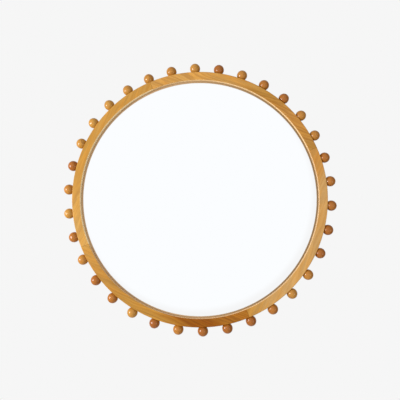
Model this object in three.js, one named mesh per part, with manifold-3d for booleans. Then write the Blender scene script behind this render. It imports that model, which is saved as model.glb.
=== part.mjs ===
// A round wall mirror in a wooden hoop set with turned wooden balls.
//
// The hoop is glued up from four quadrants with comb joints. Each ball has a turned spigot that sits in a
// bore drilled into the rim. The glass and its backing board lie in a rebate at the back, held in by
// turn buttons. The mirror hangs from two strap hangers with D-rings and stands off the wall on bumpers.
//
// Millimetres and degrees. +Z is up and the mirror faces -Y, so it is seen from the front looking along +Y,
// with +X to the right. The origin is on the hoop's axis, halfway between the front of the balls and the
// wall. Angles round the hoop run anticlockwise from +X, as seen from the front.

import * as THREE from "three";
import { mergeVertices } from "three/addons/utils/BufferGeometryUtils.js";
import Module from "manifold-3d";

const wasm = await Module();
wasm.setup();

// ---------------------------------------------------------------- driving dimensions

const CLEARANCE = 0.3; // between any two pieces that touch

// Hoop
const HOOP_OUTER_RADIUS = 330;
const HOOP_WIDTH = 22; // radial width of the face
const HOOP_DEPTH = 22; // front to back
const LIP_WIDTH = 6; // how far the lip reaches in over the glass
const FRONT_EDGE_RADIUS = 2; // outer edge of the face
const SIGHT_EDGE_RADIUS = 1.2; // inner edge of the face
const BACK_EDGE_RADIUS = 1.5; // outer edge of the back
const HOOP_SEGMENTS = 76; // flats round the hoop
const EDGE_STEPS = 2; // flats round an edge

// Comb joints between the quadrants
const QUADRANTS = ["top", "left", "bottom", "right"];
const FIRST_SEAM_ANGLE = 22.9;
const LIP_FINGERS = 2; // fingers of both quadrants together, in the lip
const REBATE_FINGERS = 3; // and behind it, beside the glass and the board
const FINGER_LENGTH = 12;
const FINGER_ROOT = 1; // how far a finger is rooted in its quadrant

// Balls
const BALL_COUNT = 34;
const FIRST_BALL_ANGLE = 7;
const BALL_DIAMETER = 27;
const BALL_SEAT_DIAMETER = 15; // flat on the ball where it meets the rim
const SPIGOT_DIAMETER = 6;
const SPIGOT_LENGTH = 12;
const BALL_SIDES = 12; // flats round the ball, a multiple of four

// Glass and backing board
const GLASS_THICKNESS = 4;
const BOARD_THICKNESS = 8;
const PANE_PLAY = 1; // radial play of the glass and the board in the rebate
const PANE_ARRIS = 0.5; // ground edge of the glass and the board

// Pan-head wood screws, the same for the turn buttons and the hangers
const SCREW_SHANK_DIAMETER = 3.2;
const SCREW_HEAD_DIAMETER = 7;
const SCREW_HEAD_HEIGHT = 2.2;
const SCREW_HEAD_EDGE = 0.8; // straight side of the head, under its crown
const SCREW_LENGTH = 12; // under the head
const SCREW_TIP_LENGTH = 3;
const SCREW_CROWN_STEPS = 3; // flats from the head's edge to its top
const SCREW_SIDES = 10;

// Turn buttons
const BUTTON_COUNT = 4;
const FIRST_BUTTON_PLACE = 42; // then evenly round, each moved to the nearest gap between two balls
const BUTTON_REACH = 22; // pivot to the centre of the free end
const BUTTON_PIVOT_RADIUS = 6;
const BUTTON_FREE_RADIUS = 4;
const BUTTON_THICKNESS = 1.2;

// Strap hangers and their D-rings
const HANGER_ANGLE = 31.7; // above the horizontal, clear of the spigots on both sides
const HANGER_REACH = 17; // screw to hinge
const STRAP_WIDTH = 9;
const STRAP_THICKNESS = 1.6;
const KNUCKLE_WALL = 1;
const KNUCKLE_SIDES = 14;
const WIRE_DIAMETER = 2.5;
const WIRE_SIDES = 8;
const RING_WIDTH = 15.5; // between the centres of the wire's two sides
const RING_SIDE_LENGTH = 4; // straight side between the corner and the bow
const RING_CORNER_RADIUS = 3;
const RING_END_GAP = 0.5; // where the wire's ends meet inside the knuckle
const RING_STEPS = 28;

// Wall bumpers
const BUMPER_DIAMETER = 13;
const BUMPER_HEIGHT = 7;
const BUMPER_EDGE = 1;
const BUMPER_ANGLE = 60; // below the horizontal
const BUMPER_SIDES = 14;

// ---------------------------------------------------------------- what follows from them

const BALL_RADIUS = BALL_DIAMETER / 2;
const BALL_PROUD = Math.max(0, BALL_RADIUS - HOOP_DEPTH / 2); // how far a ball stands out of the face
const STANDOFF = CLEARANCE + BUMPER_HEIGHT; // from the hoop's back to the wall
const FRONT = (BALL_PROUD - HOOP_DEPTH - STANDOFF) / 2; // y of the face
const BACK = FRONT + HOOP_DEPTH; // y of the hoop's back
const MIDDLE = (FRONT + BACK) / 2; // y of the balls' centres
const REBATE_DEPTH = 2 * CLEARANCE + GLASS_THICKNESS + BOARD_THICKNESS;
const GLASS_SEAT = BACK - REBATE_DEPTH; // y of the lip's rear side
const SIGHT_RADIUS = HOOP_OUTER_RADIUS - HOOP_WIDTH;
const REBATE_RADIUS = SIGHT_RADIUS + LIP_WIDTH;
const PANE_RADIUS = REBATE_RADIUS - PANE_PLAY;
const BACK_LAND_RADIUS = (REBATE_RADIUS + HOOP_OUTER_RADIUS) / 2; // middle of the flat back
const HARDWARE_SEAT = BACK + CLEARANCE; // y of the underside of what is screwed to the back
const SPIGOT_RADIUS = SPIGOT_DIAMETER / 2;
const SEAT_DISTANCE = Math.sqrt(BALL_RADIUS ** 2 - (BALL_SEAT_DIAMETER / 2) ** 2); // centre to seat
const BALL_CIRCLE_RADIUS = HOOP_OUTER_RADIUS + CLEARANCE + SEAT_DISTANCE;
const BALL_PITCH = 360 / BALL_COUNT;
const WIRE_RADIUS = WIRE_DIAMETER / 2;
const KNUCKLE_BORE_RADIUS = WIRE_RADIUS + CLEARANCE;
const KNUCKLE_RADIUS = KNUCKLE_BORE_RADIUS + KNUCKLE_WALL;
const RING_REACH = RING_CORNER_RADIUS + RING_SIDE_LENGTH + RING_WIDTH / 2; // hinge to the bow's centreline
const RING_LEAN = Math.asin((KNUCKLE_RADIUS - WIRE_RADIUS) / RING_REACH); // the bow leans on the back
const BEYOND = 2 * HOOP_OUTER_RADIUS; // a radius outside everything
const OVERRUN = 1; // how far a dividing shape runs past the wood
const SECTOR_STEP = 30; // a sector's far side has a corner at least this often
const WELD = 1e-4; // vertices nearer than this are one

const QUARTER_TURN = Math.PI / 2;
const radians = THREE.MathUtils.degToRad;

// ---------------------------------------------------------------- solids and geometries

/** A closed geometry, moved by a matrix, as a solid that can be joined and cut. */
function solidOf(geometry, matrix = new THREE.Matrix4()) {
  const bare = geometry.clone();
  bare.deleteAttribute("normal");
  bare.deleteAttribute("uv");
  const merged = mergeVertices(bare.applyMatrix4(matrix), WELD);
  return new wasm.Manifold(
    new wasm.Mesh({
      numProp: 3,
      vertProperties: merged.attributes.position.array,
      triVerts: new Uint32Array(merged.index.array),
    }),
  );
}

/** A solid as a geometry. */
function geometryOf(solid) {
  const mesh = solid.getMesh();
  const geometry = new THREE.BufferGeometry();
  geometry.setAttribute("position", new THREE.BufferAttribute(mesh.vertProperties, 3));
  geometry.setIndex(new THREE.BufferAttribute(mesh.triVerts, 1));
  geometry.computeVertexNormals();
  return geometry;
}

/** An outline drawn in (x, z) as a prism from y = low to y = high. */
function prismAlongY(outline, low, high, curveSegments = 5) {
  const geometry = new THREE.ExtrudeGeometry(outline, {
    depth: high - low,
    bevelEnabled: false,
    curveSegments,
  });
  return geometry.rotateX(QUARTER_TURN).translate(0, high, 0);
}

/** A profile of [radius, y] pairs turned about the Y axis. */
function turned(profile, sides) {
  const points = profile.map(([radius, y]) => new THREE.Vector2(radius, y));
  return new THREE.LatheGeometry(points, sides);
}

/** Points of a quarter round from one angle to another, as [radius, y] pairs. */
function quarterRound(centreRadius, centreY, radius, from, to) {
  return Array.from({ length: EDGE_STEPS + 1 }, (_, i) => {
    const angle = radians(from + ((to - from) * i) / EDGE_STEPS);
    return [centreRadius + radius * Math.cos(angle), centreY + radius * Math.sin(angle)];
  });
}

/** The place of something on the hoop: local X points outwards at that angle, local Y stays Y. */
function armMatrix(angle, radius, y) {
  return new THREE.Matrix4()
    .makeRotationY(-radians(angle))
    .multiply(new THREE.Matrix4().makeTranslation(radius, y, 0));
}

/** A matrix moved along its own Y axis. */
function lifted(matrix, height) {
  return matrix.clone().multiply(new THREE.Matrix4().makeTranslation(0, height, 0));
}

/** A sector of a disc from one angle to another, wide enough to hold the hoop. */
function sectorOutline(from, to) {
  const outline = new THREE.Shape().moveTo(0, 0);
  const steps = Math.ceil((to - from) / SECTOR_STEP);
  for (let i = 0; i <= steps; i++) {
    const angle = radians(from + ((to - from) * i) / steps);
    outline.lineTo(BEYOND * Math.cos(angle), BEYOND * Math.sin(angle));
  }
  return outline.closePath();
}

/** The angle that an arc of some length takes at the rim. */
function angleOfArc(length) {
  return THREE.MathUtils.radToDeg(length / HOOP_OUTER_RADIUS);
}

// ---------------------------------------------------------------- where things go

const seamAngles = QUADRANTS.map((_, i) => FIRST_SEAM_ANGLE + (i * 360) / QUADRANTS.length);
const ballAngles = Array.from({ length: BALL_COUNT }, (_, i) => FIRST_BALL_ANGLE + i * BALL_PITCH);

/** The middle of the gap between two balls that lies nearest to an angle. */
function nearestGap(angle) {
  const gap = Math.round((angle - FIRST_BALL_ANGLE) / BALL_PITCH - 0.5);
  return FIRST_BALL_ANGLE + (gap + 0.5) * BALL_PITCH;
}

// A button's screw goes midway between two balls, where no spigot is in its way.
const buttonMatrices = Array.from({ length: BUTTON_COUNT }, (_, i) => {
  const angle = nearestGap(FIRST_BUTTON_PLACE + (i * 360) / BUTTON_COUNT);
  return armMatrix(angle, BACK_LAND_RADIUS, HARDWARE_SEAT);
});

/** A hanger's place: local X points up along the rim, from the screw to the hinge. */
function hangerMatrix(side) {
  const angle = radians(side === "right" ? HANGER_ANGLE : 180 - HANGER_ANGLE);
  const x = BACK_LAND_RADIUS * Math.cos(angle);
  const z = BACK_LAND_RADIUS * Math.sin(angle);
  const upAlongRim = side === "right" ? angle + QUARTER_TURN : angle - QUARTER_TURN;
  return new THREE.Matrix4()
    .makeTranslation(x, HARDWARE_SEAT, z)
    .multiply(new THREE.Matrix4().makeRotationY(-upAlongRim));
}

const hangerMatrices = { left: hangerMatrix("left"), right: hangerMatrix("right") };

// ---------------------------------------------------------------- hoop

/** The hoop's section, turned: the face, the rim, the back and the rebate. */
function hoopBlank() {
  const face = FRONT + SIGHT_EDGE_RADIUS;
  const rim = FRONT + FRONT_EDGE_RADIUS;
  const profile = [
    ...quarterRound(SIGHT_RADIUS + SIGHT_EDGE_RADIUS, face, SIGHT_EDGE_RADIUS, -180, -90),
    ...quarterRound(HOOP_OUTER_RADIUS - FRONT_EDGE_RADIUS, rim, FRONT_EDGE_RADIUS, -90, 0),
    ...quarterRound(HOOP_OUTER_RADIUS - BACK_EDGE_RADIUS, BACK - BACK_EDGE_RADIUS, BACK_EDGE_RADIUS, 0, 90),
    [REBATE_RADIUS, BACK],
    [REBATE_RADIUS, GLASS_SEAT],
    [SIGHT_RADIUS, GLASS_SEAT],
  ];
  return solidOf(turned([...profile, profile[0]], HOOP_SEGMENTS));
}

/** The bore in the rim that takes a ball's spigot. */
function spigotBore(angle) {
  const depth = SPIGOT_LENGTH + CLEARANCE;
  const radius = SPIGOT_RADIUS + CLEARANCE;
  const bore = new THREE.CylinderGeometry(radius, radius, 2 * depth, BALL_SIDES);
  return solidOf(bore.rotateZ(-QUARTER_TURN), armMatrix(angle, HOOP_OUTER_RADIUS, MIDDLE));
}

/** The pilot hole for a screw whose head sits above a plate of some thickness. */
function pilotHole(matrix, plateThickness) {
  const depth = SCREW_LENGTH - plateThickness;
  const radius = SCREW_SHANK_DIAMETER / 2 + CLEARANCE;
  const hole = new THREE.CylinderGeometry(radius, radius, 2 * depth, SCREW_SIDES);
  return solidOf(hole, matrix);
}

/** The depths at which one finger ends and the next begins, with one of them at the glass's seat. */
function fingerDepths() {
  const inLip = (GLASS_SEAT - FRONT) / LIP_FINGERS;
  const behind = REBATE_DEPTH / REBATE_FINGERS;
  return [
    ...Array.from({ length: LIP_FINGERS }, (_, i) => FRONT + i * inLip),
    ...Array.from({ length: REBATE_FINGERS }, (_, i) => GLASS_SEAT + i * behind),
    BACK,
  ];
}

/** The space one quadrant takes: its sector, with fingers at both ends. */
function quadrantSpace(from, to) {
  const finger = angleOfArc(FINGER_LENGTH);
  const root = angleOfArc(FINGER_ROOT);
  const gap = angleOfArc(CLEARANCE);
  const depths = fingerDepths();
  let space = solidOf(prismAlongY(sectorOutline(from + finger, to), FRONT - OVERRUN, BACK + OVERRUN));
  for (let i = 0; i < depths.length - 1; i++) {
    const low = depths[i] + (i === 0 ? -OVERRUN : CLEARANCE / 2);
    const high = depths[i + 1] + (i === depths.length - 2 ? OVERRUN : -CLEARANCE / 2);
    const outline =
      i % 2 === 0
        ? sectorOutline(from + gap, from + finger + root)
        : sectorOutline(to - root, to + finger - gap);
    space = space.add(solidOf(prismAlongY(outline, low, high)));
  }
  return space;
}

/** The four quadrants, drilled after they are glued up. */
function quadrantGeometries() {
  let hoop = hoopBlank();
  const holes = [
    ...ballAngles.map(spigotBore),
    ...buttonMatrices.map((matrix) => pilotHole(matrix, BUTTON_THICKNESS)),
    ...Object.values(hangerMatrices).map((matrix) => pilotHole(matrix, STRAP_THICKNESS)),
  ];
  for (const hole of holes) hoop = hoop.subtract(hole);
  const turn = 360 / QUADRANTS.length;
  return seamAngles.map((from) => geometryOf(hoop.intersect(quadrantSpace(from, from + turn))));
}

// ---------------------------------------------------------------- balls

/** A ball with its seat and spigot, turned in one piece: local Y points away from the hoop. */
function ballGeometry() {
  const spigotEnd = -SEAT_DISTANCE - SPIGOT_LENGTH;
  const profile = [
    [0, spigotEnd],
    [SPIGOT_RADIUS, spigotEnd],
    [SPIGOT_RADIUS, -SEAT_DISTANCE],
    [BALL_SEAT_DIAMETER / 2, -SEAT_DISTANCE],
  ];
  const zone = (2 * Math.PI) / BALL_SIDES;
  const seatLatitude = -Math.asin(SEAT_DISTANCE / BALL_RADIUS);
  const firstZone = Math.ceil(seatLatitude / zone + 0.5); // half a zone or more above the seat
  for (let i = firstZone; i < BALL_SIDES / 4; i++) {
    profile.push([BALL_RADIUS * Math.cos(i * zone), BALL_RADIUS * Math.sin(i * zone)]);
  }
  return turned([...profile, [0, BALL_RADIUS]], BALL_SIDES);
}

// ---------------------------------------------------------------- glass and backing board

/** A round pane with ground edges, from y = low to y = high. */
function paneGeometry(low, high) {
  const inner = PANE_RADIUS - PANE_ARRIS;
  const profile = [
    [0, low],
    [inner, low],
    [PANE_RADIUS, low + PANE_ARRIS],
    [PANE_RADIUS, high - PANE_ARRIS],
    [inner, high],
    [0, high],
  ];
  return turned(profile, HOOP_SEGMENTS);
}

// ---------------------------------------------------------------- ironmongery

/** A pan-head screw: its head's underside is at y = 0 and the shank runs to -Y. */
function screwGeometry() {
  const shank = SCREW_SHANK_DIAMETER / 2;
  const head = SCREW_HEAD_DIAMETER / 2;
  const crown = SCREW_HEAD_HEIGHT - SCREW_HEAD_EDGE;
  const profile = [
    [0, -SCREW_LENGTH],
    [shank, -SCREW_LENGTH + SCREW_TIP_LENGTH],
    [shank, 0],
    [head, 0],
  ];
  for (let i = 0; i < SCREW_CROWN_STEPS; i++) {
    const angle = (i * QUARTER_TURN) / SCREW_CROWN_STEPS;
    profile.push([head * Math.cos(angle), SCREW_HEAD_EDGE + crown * Math.sin(angle)]);
  }
  return turned([...profile, [0, SCREW_HEAD_HEIGHT]], SCREW_SIDES);
}

/** A clearance hole for a screw at the origin. */
function screwHole() {
  return new THREE.Path().absarc(0, 0, SCREW_SHANK_DIAMETER / 2 + CLEARANCE, 0, 2 * Math.PI, true);
}

/** A plate from a wide round end at the origin to a narrower one further along -X, with a screw hole. */
function buttonGeometry() {
  const lean = Math.asin((BUTTON_PIVOT_RADIUS - BUTTON_FREE_RADIUS) / BUTTON_REACH);
  const outline = new THREE.Shape();
  outline.absarc(0, 0, BUTTON_PIVOT_RADIUS, -QUARTER_TURN - lean, QUARTER_TURN + lean, false);
  outline.absarc(-BUTTON_REACH, 0, BUTTON_FREE_RADIUS, QUARTER_TURN + lean, 3 * QUARTER_TURN - lean, false);
  outline.holes.push(screwHole());
  return prismAlongY(outline, 0, BUTTON_THICKNESS);
}

/** A strap with a screw hole at the origin and a knuckle at its far end along +X. */
function strapGeometry() {
  const half = STRAP_WIDTH / 2;
  const outline = new THREE.Shape();
  outline.moveTo(HANGER_REACH, -half);
  outline.lineTo(HANGER_REACH, half);
  outline.lineTo(0, half);
  outline.absarc(0, 0, half, QUARTER_TURN, 3 * QUARTER_TURN, false);
  outline.holes.push(screwHole());
  const plate = solidOf(prismAlongY(outline, 0, STRAP_THICKNESS));
  const hinge = new THREE.Matrix4().makeTranslation(HANGER_REACH, KNUCKLE_RADIUS, 0);
  const roller = (radius, length) =>
    solidOf(new THREE.CylinderGeometry(radius, radius, length, KNUCKLE_SIDES).rotateX(QUARTER_TURN), hinge);
  return geometryOf(
    plate.add(roller(KNUCKLE_RADIUS, STRAP_WIDTH)).subtract(roller(KNUCKLE_BORE_RADIUS, 2 * STRAP_WIDTH)),
  );
}

/** A D-ring of bent wire: the hinge line is the local Z axis and the bow points along +X. */
function ringGeometry() {
  const half = RING_WIDTH / 2;
  const corner = RING_CORNER_RADIUS;
  const path = new THREE.Path().moveTo(0, RING_END_GAP / 2);
  path.lineTo(0, half - corner);
  path.absarc(corner, half - corner, corner, Math.PI, QUARTER_TURN, true);
  path.lineTo(corner + RING_SIDE_LENGTH, half);
  path.absarc(corner + RING_SIDE_LENGTH, 0, half, QUARTER_TURN, -QUARTER_TURN, true);
  path.lineTo(corner, -half);
  path.absarc(corner, corner - half, corner, -QUARTER_TURN, -Math.PI, true);
  path.lineTo(0, -RING_END_GAP / 2);
  const points = path.getSpacedPoints(RING_STEPS).map((p) => new THREE.Vector3(p.x, 0, p.y));
  const section = new THREE.Shape().absarc(0, 0, WIRE_RADIUS, 0, 2 * Math.PI, false);
  return new THREE.ExtrudeGeometry(section, {
    steps: RING_STEPS,
    curveSegments: WIRE_SIDES / 2,
    extrudePath: new THREE.CatmullRomCurve3(points),
  });
}

/** A rubber bumper standing on y = 0. */
function bumperGeometry() {
  const radius = BUMPER_DIAMETER / 2;
  const profile = [
    [0, 0],
    [radius, 0],
    [radius, BUMPER_HEIGHT - BUMPER_EDGE],
    [radius - BUMPER_EDGE, BUMPER_HEIGHT],
    [0, BUMPER_HEIGHT],
  ];
  return turned(profile, BUMPER_SIDES);
}

// ---------------------------------------------------------------- materials

/** A plain material. */
function finish(color, roughness, metalness = 0) {
  return new THREE.MeshStandardMaterial({ color, roughness, metalness });
}

const hoopWood = () => finish(0xcf9a50, 0.45);
const ballWood = () => finish(0xbf7f45, 0.35);
const silveredGlass = () => finish(0xf4f7f8, 0.02, 1);
const fibreboard = () => finish(0x9c7550, 0.85);
const nickelSteel = () => finish(0xc9c6bd, 0.3, 1);
const zincSteel = () => finish(0xb9a468, 0.38, 1);
const rubber = () => finish(0x2b2a29, 0.8);

// ---------------------------------------------------------------- assembly

const mirror = new THREE.Group();

/** Adds a named mesh to a group, at a place given as a matrix. */
function place(group, name, geometry, material, matrix = new THREE.Matrix4()) {
  const mesh = new THREE.Mesh(geometry, material);
  mesh.name = name;
  mesh.applyMatrix4(matrix);
  group.add(mesh);
  return mesh;
}

function addHoop() {
  quadrantGeometries().forEach((geometry, i) => {
    place(mirror, `hoop_quadrant_${QUADRANTS[i]}`, geometry, hoopWood());
  });
}

function addBalls() {
  const geometry = ballGeometry();
  ballAngles.forEach((angle, i) => {
    const arm = new THREE.Group();
    arm.rotation.y = -radians(angle);
    const ball = place(arm, `ball_${String(i + 1).padStart(2, "0")}`, geometry, ballWood());
    ball.position.set(BALL_CIRCLE_RADIUS, MIDDLE, 0);
    ball.rotation.z = -QUARTER_TURN;
    mirror.add(arm);
  });
}

function addPanes() {
  const glassFront = GLASS_SEAT + CLEARANCE;
  const boardFront = glassFront + GLASS_THICKNESS + CLEARANCE;
  place(mirror, "mirror_glass", paneGeometry(glassFront, glassFront + GLASS_THICKNESS), silveredGlass());
  place(mirror, "backing_board", paneGeometry(boardFront, boardFront + BOARD_THICKNESS), fibreboard());
}

function addTurnButtons() {
  buttonMatrices.forEach((matrix, i) => {
    place(mirror, `turn_button_${i + 1}`, buttonGeometry(), zincSteel(), matrix);
    const underHead = lifted(matrix, BUTTON_THICKNESS + CLEARANCE);
    place(mirror, `button_screw_${i + 1}`, screwGeometry(), zincSteel(), underHead);
  });
}

function addHangers() {
  for (const [side, matrix] of Object.entries(hangerMatrices)) {
    const hanger = new THREE.Group();
    hanger.applyMatrix4(matrix);
    place(hanger, `hanger_strap_${side}`, strapGeometry(), nickelSteel());
    const ring = place(hanger, `hanger_ring_${side}`, ringGeometry(), nickelSteel());
    ring.position.set(HANGER_REACH, KNUCKLE_RADIUS, 0);
    ring.rotation.z = -RING_LEAN;
    const screw = place(hanger, `hanger_screw_${side}`, screwGeometry(), nickelSteel());
    screw.position.y = STRAP_THICKNESS + CLEARANCE;
    mirror.add(hanger);
  }
}

function addBumpers() {
  for (const [side, angle] of [["left", 180 + BUMPER_ANGLE], ["right", -BUMPER_ANGLE]]) {
    const seat = armMatrix(angle, BACK_LAND_RADIUS, HARDWARE_SEAT);
    place(mirror, `wall_bumper_${side}`, bumperGeometry(), rubber(), seat);
  }
}

addHoop();
addBalls();
addPanes();
addTurnButtons();
addHangers();
addBumpers();

export default mirror;
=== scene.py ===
"""The looks of a round wall mirror: a comb-jointed wooden hoop with a ring of turned balls round its rim.

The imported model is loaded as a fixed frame, and each sub-assembly below builds its pieces where the nodes are
that they stand for. Shapes are modelled in millimetres and put down in metres. Angles run round the hoop in
degrees, anticlockwise from +X as seen from the front, which is the -Y side.
"""

import logging
import math
import random
from collections.abc import Callable, Iterable, Sequence
from dataclasses import dataclass, field
from enum import Enum

import bmesh
import bpy
from mathutils import Euler, Matrix, Vector


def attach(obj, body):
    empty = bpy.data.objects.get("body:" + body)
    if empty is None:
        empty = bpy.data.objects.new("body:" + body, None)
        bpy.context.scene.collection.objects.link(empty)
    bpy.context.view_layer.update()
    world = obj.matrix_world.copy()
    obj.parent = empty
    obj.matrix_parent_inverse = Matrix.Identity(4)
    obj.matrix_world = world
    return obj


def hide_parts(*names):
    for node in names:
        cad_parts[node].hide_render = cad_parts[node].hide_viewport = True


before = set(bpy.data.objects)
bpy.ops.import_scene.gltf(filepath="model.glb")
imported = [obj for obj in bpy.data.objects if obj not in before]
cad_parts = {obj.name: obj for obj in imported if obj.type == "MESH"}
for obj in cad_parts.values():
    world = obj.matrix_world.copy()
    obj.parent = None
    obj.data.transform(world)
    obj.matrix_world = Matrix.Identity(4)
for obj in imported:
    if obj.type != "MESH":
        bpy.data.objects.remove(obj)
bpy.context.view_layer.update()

ROOT_BODY = "mirror"

# Lengths are in millimetres, but for MM, which is one of them in metres.
MM = 0.001
WELD = 1e-3
CLEARANCE = 0.3
OVERSHOOT = 1.0

FULL_TURN = 2 * math.pi
QUARTER_TURN = math.pi / 2
SHARP_DEGREES = 60
ROUND_SEGMENTS = 4
HOLE_SIDES = 32

# Where the peaks of a noise begin to show as pores, and where they show in full.
PORE_EDGE = (0.66, 0.74)

Colour = tuple[float, float, float, float]
Point = tuple[float, float]
Span = tuple[float, float]
Stretch = tuple[float, float, float]

log = logging.getLogger("round_mirror")


def tone(red: float, green: float, blue: float) -> Colour:
    """Turns a colour as a screen shows it into the linear light that shaders take.

    Args:
        red: Red from 0 to 255.
        green: Green from 0 to 255.
        blue: Blue from 0 to 255.

    Returns:
        The linear colour with full alpha.
    """

    def linear(part: float) -> float:
        """Returns one channel as linear light."""
        share = part / 255
        return share / 12.92 if share <= 0.04045 else ((share + 0.055) / 1.055) ** 2.4

    return (linear(red), linear(green), linear(blue), 1.0)


# ---------------------------------------------------------------- shader graphs


class Signal:
    """One output socket of a shader graph that takes part in Python expressions."""

    def __init__(self, graph: "Graph", socket: bpy.types.NodeSocket) -> None:
        """Wraps a socket.

        Args:
            graph: The graph that the socket belongs to.
            socket: The output socket.
        """
        self.graph = graph
        self.socket = socket

    def __add__(self, other: "Term") -> "Signal":
        """Returns the sum."""
        return self.graph.math("ADD", self, other)

    def __sub__(self, other: "Term") -> "Signal":
        """Returns this less the other."""
        return self.graph.math("SUBTRACT", self, other)

    def __rsub__(self, other: "Term") -> "Signal":
        """Returns the other less this."""
        return self.graph.math("SUBTRACT", other, self)

    def __mul__(self, other: "Term") -> "Signal":
        """Returns the product."""
        return self.graph.math("MULTIPLY", self, other)

    def __truediv__(self, other: "Term") -> "Signal":
        """Returns this divided by the other."""
        return self.graph.math("DIVIDE", self, other)

    def __abs__(self) -> "Signal":
        """Returns the size without its sign."""
        return self.graph.math("ABSOLUTE", self)

    def sway(self, strength: float) -> "Signal":
        """Returns the swing of a value from 0 to 1 about its middle, at a strength."""
        return (self - 0.5) * strength

    __radd__ = __add__
    __rmul__ = __mul__


Term = Signal | float


class Graph:
    """The node tree of one material or world, written from Python expressions."""

    def __init__(self, owner: bpy.types.Material | bpy.types.World) -> None:
        """Empties the owner's node tree.

        Args:
            owner: The material or world.
        """
        owner.use_nodes = True
        self.owner = owner
        self.tree = owner.node_tree
        self.tree.nodes.clear()

    def node(
        self,
        kind: str,
        settings: dict[str, object] | None = None,
        sockets: dict[str, object] | None = None,
    ) -> bpy.types.Node:
        """Adds one node.

        Args:
            kind: The node's type, without its "ShaderNode" prefix.
            settings: Its settings, set first. "stops" holds a ramp's (place, colour) pairs.
            sockets: Values or links of its input sockets, by name or identifier.

        Returns:
            The node.
        """
        made = self.tree.nodes.new("ShaderNode" + kind)
        for key, value in (settings or {}).items():
            if key == "stops":
                self._set_stops(made.color_ramp, value)
            else:
                setattr(made, key, value)
        for key, value in (sockets or {}).items():
            socket = next(s for s in made.inputs if key in (s.identifier, s.name))
            if isinstance(value, Signal):
                self.tree.links.new(value.socket, socket)
            else:
                socket.default_value = value
        return made

    @staticmethod
    def _set_stops(ramp: bpy.types.ColorRamp, stops: Sequence[tuple[float, Colour]]) -> None:
        """Gives a ramp its stops.

        Args:
            ramp: The ramp, with the two stops it starts with.
            stops: Two or more (place, colour) pairs.
        """
        while len(ramp.elements) < len(stops):
            ramp.elements.new(0.5)
        for element, (place, colour) in zip(ramp.elements, stops):
            element.position = place
            element.color = colour

    def out(self, made: bpy.types.Node, name: str | int = 0) -> Signal:
        """Returns one output of a node as a signal."""
        return Signal(self, made.outputs[name])

    def math(self, operation: str, *terms: Term) -> Signal:
        """Adds a Math node.

        Args:
            operation: Blender's name of the operation.
            *terms: Its one to three values or signals.

        Returns:
            The result.
        """
        names = ("Value", "Value_001", "Value_002")
        made = self.node("Math", {"operation": operation}, dict(zip(names, terms)))
        return self.out(made)

    def vector(self, operation: str, *terms: object) -> Signal:
        """Adds a Vector Math node.

        Args:
            operation: Blender's name of the operation.
            *terms: Its vectors, as triples or signals.

        Returns:
            The resulting vector.
        """
        names = ("Vector", "Vector_001", "Vector_002")
        made = self.node("VectorMath", {"operation": operation}, dict(zip(names, terms)))
        return self.out(made)

    def reach(self, first: Signal, second: Signal) -> Signal:
        """Returns the distance from the origin to a place in a plane."""
        return self.math("SQRT", first * first + second * second)

    def split(self, vector: Signal) -> tuple[Signal, Signal, Signal]:
        """Returns a vector's three parts."""
        made = self.node("SeparateXYZ", None, {"Vector": vector})
        return self.out(made, "X"), self.out(made, "Y"), self.out(made, "Z")

    def join(self, x: Term, y: Term, z: Term) -> Signal:
        """Returns a vector made of three parts."""
        return self.out(self.node("CombineXYZ", None, {"X": x, "Y": y, "Z": z}))

    def blend(self, factor: Term, first: object, second: object, mode: str = "MIX") -> Signal:
        """Mixes two colours.

        Args:
            factor: 0 for the first, 1 for the second.
            first: A colour or signal.
            second: A colour or signal.
            mode: Blender's name of the blend type.

        Returns:
            The mixed colour.
        """
        settings = {"data_type": "RGBA", "blend_type": mode, "clamp_factor": True}
        sockets = {"Factor_Float": factor, "A_Color": first, "B_Color": second}
        return self.out(self.node("Mix", settings, sockets), 2)

    def shaded(self, colour: Signal, shade: Signal) -> Signal:
        """Returns a colour made darker or lighter by a factor."""
        return self.blend(1.0, colour, self.join(shade, shade, shade), "MULTIPLY")

    def ramp(self, value: Signal, stops: Sequence[tuple[float, Colour]]) -> Signal:
        """Returns the colour at a value on a ramp of (place, colour) stops."""
        return self.out(self.node("ValToRGB", {"stops": stops}, {"Fac": value}))

    def band(self, value: Term, low: float, high: float, start: float = 0, end: float = 1) -> Signal:
        """Maps a value smoothly from one range to another.

        Args:
            value: The value.
            low: Where the smooth step begins.
            high: Where it ends.
            start: The result at and below low.
            end: The result at and above high.

        Returns:
            The mapped value.
        """
        sockets = {"Value": value, "From Min": low, "From Max": high, "To Min": start, "To Max": end}
        return self.out(self.node("MapRange", {"interpolation_type": "SMOOTHSTEP"}, sockets))

    def noise(
        self, place: Signal, stretch: Stretch | float, detail: float = 2, roughness: float = 0.5
    ) -> Signal:
        """Adds a noise pattern.

        Args:
            place: The coordinates.
            stretch: Turns of the pattern to one unit, along each axis or alike along all.
            detail: How many finer layers it has.
            roughness: How strong the finer layers are.

        Returns:
            The noise, about 0.5 in the mean.
        """
        turns = stretch if isinstance(stretch, tuple) else (stretch,) * 3
        sockets = {
            "Vector": self.vector("MULTIPLY", place, turns),
            "Scale": 1.0,
            "Detail": detail,
            "Roughness": roughness,
        }
        return self.out(self.node("TexNoise", {"normalize": True}, sockets), 0)

    def chance(self, value: Term) -> Signal:
        """Returns a random number from 0 to 1 for each whole value."""
        made = self.node("TexWhiteNoise", {"noise_dimensions": "1D"}, {"W": self.math("FLOOR", value)})
        return self.out(made, "Value")

    def bump(self, height: Signal, depth: float, strength: float = 1.0) -> Signal:
        """Turns a height into a shading normal.

        Args:
            height: The height, from 0 to 1.
            depth: What a height of 1 stands for, in metres.
            strength: How much of it shows.

        Returns:
            The normal.
        """
        sockets = {"Strength": strength, "Distance": depth, "Height": height}
        return self.out(self.node("Bump", None, sockets))

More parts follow.
